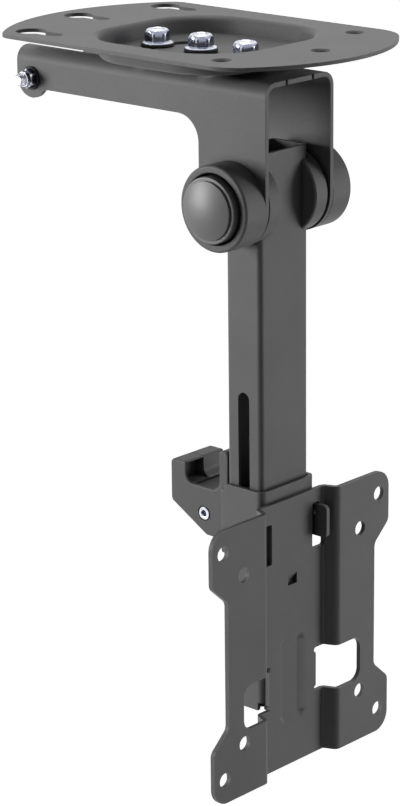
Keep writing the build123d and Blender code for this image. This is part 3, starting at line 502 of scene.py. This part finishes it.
# Swivel bolts: three flange heads in a row, the middle one a little higher
HEAD_HEIGHT = 6.2
HEAD_FLATS = 9.5
HEAD_TURN = math.radians(21)
HEAD_BASE = 1.5
HEAD_CROWN = (4.25, 1.6, 0.5)
AXIS_LIFT = 0.5
THREAD_IN_NUT = 1
bolts_low, bolts_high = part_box("swivel_bolts")
nuts_low, nuts_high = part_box("swivel_nuts")
flange_radius = in_mm(bolts_high.x - bolts_low.x) / 2
bolt_pitch = in_mm(bolts_high.y - bolts_low.y) / 2 - flange_radius
head_top = in_mm(bolts_high.z)
swivel_forms = []
for place, lift in ((-bolt_pitch, 0), (0, AXIS_LIFT), (bolt_pitch, 0)):
    top = head_top - AXIS_LIFT + lift
    seat = top - HEAD_HEIGHT
    rows = thread_rows(in_mm(bolts_low.z), in_mm(nuts_low.z) + THREAD_IN_NUT, *M6)
    rows += [(seat - SHANK_STEP, M6[0])]
    rows += flange_rows(seat, flange_radius, hexagon(HEAD_FLATS, HEAD_TURN))
    rows += head_rows(seat + HEAD_BASE, top, HEAD_FLATS, HEAD_TURN, *HEAD_CROWN)
    swivel_forms.append((rows, (0, place * MM, 0), UPRIGHT))
turned_piece("swivel_bolt_set", swivel_forms, "zinc_steel", "arm", "swivel_bolts")

# Catch bolt across the end of the arm, and its nut
CATCH_FLATS = 7.6
CATCH_BASE = 0.1
CATCH_CROWN = (3.2, 0.7, 0.3)
CATCH_NUT_BORE = 2.55
CATCH_NUT_COLLAR = 3.3
catch_low, catch_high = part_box("catch_bolt")
nut_low, nut_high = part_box("catch_nut")
catch_place = axis_place(nut_low, nut_high)
nut_seat = in_mm(nut_high.x)
head_seat = -nut_seat
rows = thread_rows(in_mm(catch_low.x), nut_seat, *M5)
rows += [(head_seat - SHANK_STEP / 2, M5[0]), (head_seat, hexagon(CATCH_FLATS))]
rows += head_rows(head_seat + CATCH_BASE, in_mm(catch_high.x), CATCH_FLATS, 0, *CATCH_CROWN)
catch_forms = [(rows, catch_place, TOWARDS_RIGHT)]
turned_piece("catch_bolt_turned", catch_forms, "zinc_stud", "arm", "catch_bolt")
nut_end = in_mm(nut_low.x)
rows = collar_nut_rows(nut_end, nut_seat, CATCH_FLATS, CATCH_NUT_BORE, CATCH_NUT_COLLAR)
nut_forms = [(rows, catch_place, TOWARDS_RIGHT)]
turned_piece("catch_nut_turned", nut_forms, "dark_zinc", "arm", "catch_nut")

# Nuts of the swivel bolts
NUT_FLATS = 10.0
NUT_TURN = math.radians(30)
NUT_BORE = 3.05
rows = nut_rows(in_mm(nuts_low.z), in_mm(nuts_high.z), NUT_FLATS, NUT_TURN, NUT_BORE)
nut_forms = [(rows, (0, place * MM, 0), UPRIGHT) for place in (-bolt_pitch, 0, bolt_pitch)]
turned_piece("swivel_nut_set", nut_forms, "zinc_steel", "arm", "swivel_nuts")

# Lock bolt of the slider
LOCK_FLATS = 10.0
LOCK_BASE = 1.4
LOCK_CROWN = (3.6, 0.7, 0.5)
LOCK_THREAD_TOP = 12.0
lock_low, lock_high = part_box("lock_bolt")
lock_seat = in_mm(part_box("lock_washer")[1].x)
rows = thread_rows(in_mm(lock_low.x), LOCK_THREAD_TOP, *M6)
rows += [(lock_seat - SHANK_STEP, M6[0])]
rows += flange_rows(lock_seat, in_mm(lock_high.y - lock_low.y) / 2, hexagon(LOCK_FLATS))
rows += head_rows(lock_seat + LOCK_BASE, in_mm(lock_high.x), LOCK_FLATS, 0, *LOCK_CROWN)
lock_forms = [(rows, axis_place(lock_low, lock_high), TOWARDS_RIGHT)]
turned_piece("lock_bolt_turned", lock_forms, "zinc_across", "slider", "lock_bolt")

# Hollow rivet of the latch: the rolled head's depth below its face and radius, seat to bore
RIVET_HEAD = 0.9
RIVET_SHANK = 2.0
RIVET_PROFILE = ((RIVET_HEAD, 2.55), (0.65, 2.8), (0.3, 2.75), (0.05, 2.45), (0, 2.0),
                 (0.1, 1.6), (0.45, 1.3), (4.0, 1.3))
pin_low, pin_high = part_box("latch_pin")
pin_left = in_mm(pin_low.x)
pin_right = in_mm(pin_high.x)
rows = [(pin_left + depth, radius) for depth, radius in reversed(RIVET_PROFILE)]
rows += [(pin_left + RIVET_HEAD, RIVET_SHANK), (pin_right - RIVET_HEAD, RIVET_SHANK)]
rows += [(pin_right - depth, radius) for depth, radius in RIVET_PROFILE]
pin_forms = [(rows, axis_place(pin_low, pin_high), TOWARDS_RIGHT)]
turned_piece("latch_rivet", pin_forms, "zinc_across", "latch", "latch_pin")


def box_cut(piece, low, high):
    """Cuts a box out of a piece's own mesh."""
    cutter_bm = bmesh.new()
    bmesh.ops.create_cube(cutter_bm, size=1.0)
    size = Vector(high) - Vector(low)
    centre = (Vector(high) + Vector(low)) / 2
    for vertex in cutter_bm.verts:
        vertex.co = centre + vertex.co * size
    cutter_mesh = bpy.data.meshes.new("cutter")
    cutter_bm.to_mesh(cutter_mesh)
    cutter_bm.free()
    cutter = add_object("cutter", cutter_mesh)
    weld = piece.modifiers.new("weld", "WELD")
    weld.merge_threshold = WELD_DISTANCE
    cut = piece.modifiers.new("cut", "BOOLEAN")
    cut.operation = "DIFFERENCE"
    cut.solver = "EXACT"
    cut.object = cutter
    bpy.context.view_layer.update()
    evaluated = piece.evaluated_get(bpy.context.evaluated_depsgraph_get())
    result = bpy.data.meshes.new_from_object(evaluated)
    piece.modifiers.clear()
    piece.data = result
    bpy.data.objects.remove(cutter)


# Latch hook, as moulded: a pocket open from just under the tip's top down to the recess
# floor, and a mould seam along the tip. In metres
CORE_WALL = 0.0007
CORE_RIB = -0.0008
CORE_ROOF = 0.0006
CORE_DEPTH = 0.0046
SEAM_HALF_WIDTH = 0.0002
SEAM_DEPTH = 0.00035
SEAM_OVERRUN = 0.001
TIP_THICKNESS = 0.0088
TIP_TOP = -0.182
RECESS_CORNER = 0.0039
RECESS_FLOOR = -0.191
hook_low, hook_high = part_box("latch_hook")
hook = add_object("latch_hook_moulded", nodes["latch_hook"].data.copy())
tip_inner = hook_high.y - TIP_THICKNESS
box_cut(
    hook,
    (hook_low.x + CORE_WALL, tip_inner - RECESS_CORNER, RECESS_FLOOR),
    (CORE_RIB, tip_inner + CORE_DEPTH, TIP_TOP - CORE_ROOF),
)
box_cut(
    hook,
    (CORE_RIB - SEAM_HALF_WIDTH, tip_inner - SEAM_OVERRUN, TIP_TOP - SEAM_DEPTH),
    (CORE_RIB + SEAM_HALF_WIDTH, hook_high.y + SEAM_OVERRUN, TIP_TOP + SEAM_OVERRUN),
)
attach(hook, "latch")
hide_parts("latch_hook")
soften_edges(hook)

# Camera: the photograph's place and angle
YAW = math.radians(47.297)
PITCH = math.radians(17.239)
ROLL = math.radians(-0.672)
CAMERA_PLACE = Vector((-844.362, -776.353, 197.393)) * MM
FOCAL_PIXELS = 2820.616
PHOTO_HEIGHT = 806
SENSOR_WIDTH = 36
flat_reach = math.cos(PITCH)
forward = Vector((math.sin(YAW) * flat_reach, math.cos(YAW) * flat_reach, -math.sin(PITCH)))
right = Vector((math.cos(YAW), -math.sin(YAW), 0))
up = right.cross(forward)
rolled_right = math.cos(ROLL) * right + math.sin(ROLL) * up
rolled_up = -math.sin(ROLL) * right + math.cos(ROLL) * up
camera_data = bpy.data.cameras.new("camera")
camera_data.sensor_fit = "AUTO"
camera_data.sensor_width = SENSOR_WIDTH
camera_data.lens = FOCAL_PIXELS * SENSOR_WIDTH / PHOTO_HEIGHT
camera_data.clip_start = 0.05
camera_data.clip_end = 50
camera = add_object("camera", camera_data)
camera_turn = Matrix((rolled_right, rolled_up, -forward)).transposed().to_4x4()
camera.matrix_world = Matrix.Translation(CAMERA_PLACE) @ camera_turn
bpy.context.scene.camera = camera

# Soft rectangular lamps round the bracket: place, width, height and watts
LAMP_TARGET = Vector((0, 0, -0.15))
LAMPS = {
    "top_lamp": ((0.25, 0.25, 1.4), 0.8, 0.8, 12.3),
    "low_lamp": ((0.35, 0.3, -1.9), 1.0, 1.0, 5.5),
    "left_lamp": ((-1.13, 1.13, 0.05), 0.6, 0.8, 24),
    "right_lamp": ((1.18, -1.08, -0.14), 0.6, 1.4, 12.5),
}
for name, (place, width, height, watts) in LAMPS.items():
    lamp_data = bpy.data.lights.new(name, "AREA")
    lamp_data.shape = "RECTANGLE"
    lamp_data.size = width
    lamp_data.size_y = height
    lamp_data.energy = watts
    lamp = add_object(name, lamp_data)
    lamp.location = place
    aim = LAMP_TARGET - Vector(place)
    lamp.rotation_euler = aim.to_track_quat("-Z", "Y").to_euler()


def seen_directly(tree):
    """1 where the camera sees a surface, straight or in metal, and 0 where it only lights."""
    path = tree.nodes.new("ShaderNodeLightPath")
    glossy, clear = path.outputs["Is Glossy Ray"], path.outputs["Is Transmission Ray"]
    mirrored = math_node(tree, "MAXIMUM", glossy, clear)
    return math_node(tree, "MAXIMUM", path.outputs["Is Camera Ray"], mirrored)


# World: white to look at, but only a faint light
WHITE = (1, 1, 1, 1)
WORLD_LIGHT = 0.04
world = bpy.data.worlds.new("studio")
bpy.context.scene.world = world
world.use_nodes = True
tree = world.node_tree
background = tree.nodes["Background"]
background.inputs["Color"].default_value = WHITE
level = mapped(tree, seen_directly(tree), WORLD_LIGHT, 1.0, 0, 1)
tree.links.new(level, background.inputs["Strength"])

# Floor: pale, far below the hanging bracket
FLOOR_HEIGHT = -3.2
FLOOR_SIZE = 40
FLOOR_CELLS = 8
FLOOR_COLOUR = (0.9, 0.9, 0.9)
FLOOR_ROUGHNESS = 0.8
FLOOR_GLOW = 0.97
floor_mesh = bpy.data.meshes.new("floor")
floor_bm = bmesh.new()
bmesh.ops.create_grid(floor_bm, x_segments=FLOOR_CELLS, y_segments=FLOOR_CELLS, size=FLOOR_SIZE)
floor_bm.to_mesh(floor_mesh)
floor_bm.free()
floor = add_object("floor", floor_mesh)
floor.location = (0, 0, FLOOR_HEIGHT)
floor_material, tree, shader = new_material("floor", FLOOR_COLOUR, 0.0, FLOOR_ROUGHNESS)
glow = math_node(tree, "MULTIPLY", seen_directly(tree), FLOOR_GLOW)
shader.inputs["Emission Color"].default_value = WHITE
tree.links.new(glow, shader.inputs["Emission Strength"])
floor_mesh.materials.append(floor_material)

bpy.context.scene.view_settings.view_transform = "Standard"
